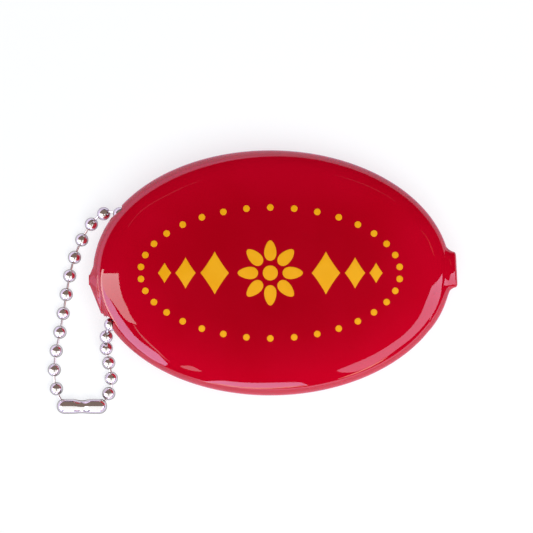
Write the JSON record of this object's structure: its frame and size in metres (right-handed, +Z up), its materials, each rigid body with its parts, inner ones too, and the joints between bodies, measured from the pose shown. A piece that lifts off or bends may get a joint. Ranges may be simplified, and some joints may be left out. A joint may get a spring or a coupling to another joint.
{
  "type": "squeeze coin purse",
  "caption": "Oval soft vinyl coin purse, slit along its flat back so that it gapes when its ends are squeezed, with a ball key chain through one end.",
  "frame": {"origin": "on the resting plane, under the middle of the oval, at the middle of its flat back", "axes": "+X along the oval to its nub, +Y across the oval, +Z up through the domed front"},
  "size_m": [0.0921, 0.0592, 0.016],
  "materials": {
    "red_vinyl": "glossy moulded soft vinyl",
    "nickel_chain": "bright nickel plating"
  },
  "bodies": {
    "purse": {"vinyl_shell": "red_vinyl", "ball_13": "nickel_chain", "ball_14": "nickel_chain", "ball_15": "nickel_chain", "ball_16": "nickel_chain", "ball_17": "nickel_chain", "ball_18": "nickel_chain", "ball_19": "nickel_chain", "ball_20": "nickel_chain", "link_12": "nickel_chain", "link_13": "nickel_chain", "link_14": "nickel_chain", "link_15": "nickel_chain", "link_16": "nickel_chain", "link_17": "nickel_chain", "link_18": "nickel_chain", "link_19": "nickel_chain"},
    "upper_lip": {"upper_lip": "red_vinyl"},
    "lower_lip": {"lower_lip": "red_vinyl"},
    "chain_01": {"ball_12": "nickel_chain", "link_11": "nickel_chain", "link_20": "nickel_chain"},
    "chain_02": {"ball_11": "nickel_chain", "link_10": "nickel_chain", "ball_21": "nickel_chain"},
    "chain_03": {"ball_10": "nickel_chain", "link_09": "nickel_chain", "link_21": "nickel_chain"},
    "chain_04": {"ball_09": "nickel_chain", "link_08": "nickel_chain", "ball_22": "nickel_chain"},
    "chain_05": {"ball_08": "nickel_chain", "link_07": "nickel_chain", "link_22": "nickel_chain"},
    "chain_06": {"ball_07": "nickel_chain", "link_06": "nickel_chain", "ball_23": "nickel_chain"},
    "chain_07": {"ball_06": "nickel_chain", "link_05": "nickel_chain", "link_23": "nickel_chain"},
    "chain_08": {"ball_05": "nickel_chain", "link_04": "nickel_chain", "ball_24": "nickel_chain"},
    "chain_09": {"ball_04": "nickel_chain", "link_03": "nickel_chain", "link_24": "nickel_chain"},
    "chain_10": {"ball_03": "nickel_chain", "link_02": "nickel_chain", "ball_25": "nickel_chain"},
    "chain_11": {"ball_02": "nickel_chain", "link_01": "nickel_chain", "link_25": "nickel_chain"},
    "coupling": {"ball_01": "nickel_chain", "ball_26": "nickel_chain", "chain_coupling": "nickel_chain"}
  },
  "joints": [
    {"name": "lip_gape", "type": "hinge", "parent": "purse", "child": "upper_lip", "pos_m": [0.003, 0, 0.0076], "axis": [1, 0, 0], "range_deg": [0, 45], "stiffness_Nm_per_rad": 0.002},
    {"name": "lower_lip_gape", "type": "hinge", "parent": "purse", "child": "lower_lip", "pos_m": [0.003, 0, 0.0076], "axis": [1, 0, 0], "range_deg": [-45, 0], "stiffness_Nm_per_rad": 0.002},
    {"name": "chain_fold_01", "type": "hinge", "parent": "purse", "child": "chain_01", "pos_m": [-0.03639, 0.00047, 0.00605], "axis": [0.0037, 0.9996, -0.0275], "range_deg": [0, 12]},
    {"name": "chain_fold_02", "type": "hinge", "parent": "chain_01", "child": "chain_02", "pos_m": [-0.03805, -0.00068, 0.00464], "axis": [-0.1088, 0.9885, -0.1054], "range_deg": [0, 12]},
    {"name": "chain_fold_03", "type": "hinge", "parent": "chain_02", "child": "chain_03", "pos_m": [-0.03943, -0.00334, 0.00293], "axis": [-0.1931, 0.9771, -0.0893], "range_deg": [0, 12]},
    {"name": "chain_fold_04", "type": "hinge", "parent": "chain_03", "child": "chain_04", "pos_m": [-0.04033, -0.0055, 0.00249], "axis": [-0.3035, 0.9484, -0.0913], "range_deg": [0, 12]},
    {"name": "chain_fold_05", "type": "hinge", "parent": "chain_04", "child": "chain_05", "pos_m": [-0.04083, -0.00874, 0.00171], "axis": [-0.3941, 0.9188, -0.0205], "range_deg": [0, 12]},
    {"name": "chain_fold_06", "type": "hinge", "parent": "chain_05", "child": "chain_06", "pos_m": [-0.0412, -0.01119, 0.00161], "axis": [-0.5069, 0.8619, -0.012], "range_deg": [0, 12]},
    {"name": "chain_fold_07", "type": "hinge", "parent": "chain_06", "child": "chain_07", "pos_m": [-0.04125, -0.0147, 0.00147], "axis": [-0.5949, 0.8038, 0.0044], "range_deg": [0, 12]},
    {"name": "chain_fold_08", "type": "hinge", "parent": "chain_07", "child": "chain_08", "pos_m": [-0.04152, -0.01715, 0.00149], "axis": [-0.7337, 0.6795, 0.001], "range_deg": [0, 12]},
    {"name": "chain_fold_09", "type": "hinge", "parent": "chain_08", "child": "chain_09", "pos_m": [-0.04183, -0.02068, 0.00151], "axis": [-0.8066, 0.5911, -0.0007], "range_deg": [0, 12]},
    {"name": "chain_fold_10", "type": "hinge", "parent": "chain_09", "child": "chain_10", "pos_m": [-0.04219, -0.02317, 0.00149], "axis": [-0.9196, 0.3928, 0.0031], "range_deg": [0, 12]},
    {"name": "chain_fold_11", "type": "hinge", "parent": "chain_10", "child": "chain_11", "pos_m": [-0.04277, -0.02661, 0.0015], "axis": [-0.9513, 0.3081, -0.0053], "range_deg": [0, 12]},
    {"name": "coupling_roll", "type": "hinge", "parent": "chain_11", "child": "coupling", "pos_m": [-0.04226, -0.02885, 0.00161], "axis": [-0.9997, 0.0253, 0.0042], "range_deg": [0, 25]}
  ],
  "couplings": [
    {"joint": "lower_lip_gape", "follows": "lip_gape", "ratio": -1}
  ]
}
